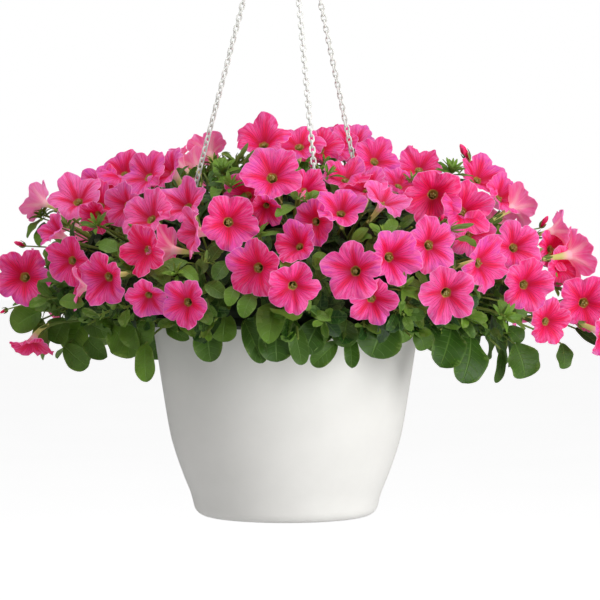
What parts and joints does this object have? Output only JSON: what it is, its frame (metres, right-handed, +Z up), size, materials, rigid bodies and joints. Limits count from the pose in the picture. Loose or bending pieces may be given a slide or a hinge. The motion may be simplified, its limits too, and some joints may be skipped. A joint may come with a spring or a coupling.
{
  "type": "petunia hanging basket",
  "caption": "White tapered pot on thin chains that meet at a hook, overflowing with a wide mound of pink petunia flowers and green leaves.",
  "frame": {"origin": "the inside top of the hook's bend, where it hangs on a bracket", "axes": "+Z up, -Y the side that the picture shows, +X to its right"},
  "size_m": [0.6371, 0.5832, 0.7544],
  "materials": {
    "pot": "satin",
    "soil": "matte",
    "hanger": "satin",
    "foliage": "satin",
    "petals": "satin"
  },
  "bodies": {
    "root": {"blooms_01": "petals", "blooms_02": "petals", "blooms_03": "petals", "blooms_04": "petals", "blooms_05": "petals", "blooms_06": "petals", "blooms_07": "petals", "blooms_08": "petals", "blooms_09": "petals", "blooms_10": "petals", "blooms_11": "petals", "blooms_12": "petals", "blooms_13": "petals", "blooms_14": "petals", "blooms_15": "petals", "blooms_16": "petals", "blooms_17": "petals", "blooms_18": "petals", "blooms_19": "petals", "blooms_20": "petals", "blooms_21": "petals", "blooms_22": "petals", "blooms_23": "petals", "blooms_24": "petals", "blooms_25": "petals", "blooms_26": "petals", "blooms_27": "petals", "blooms_28": "petals", "blooms_29": "petals", "blooms_30": "petals", "blooms_31": "petals", "blooms_32": "petals", "blooms_33": "petals", "blooms_34": "petals", "blooms_35": "petals", "blooms_36": "petals", "blooms_37": "petals", "blooms_38": "petals", "blooms_39": "petals", "blooms_40": "petals", "blooms_41": "petals", "blooms_42": "petals", "chain_1": "hanger", "chain_2": "hanger", "chain_3": "hanger", "foliage": "foliage", "hook": "hanger", "pot": "pot", "rim_clip_1": "hanger", "rim_clip_2": "hanger", "rim_clip_3": "hanger", "soil": "soil"}
  },
  "joints": []
}
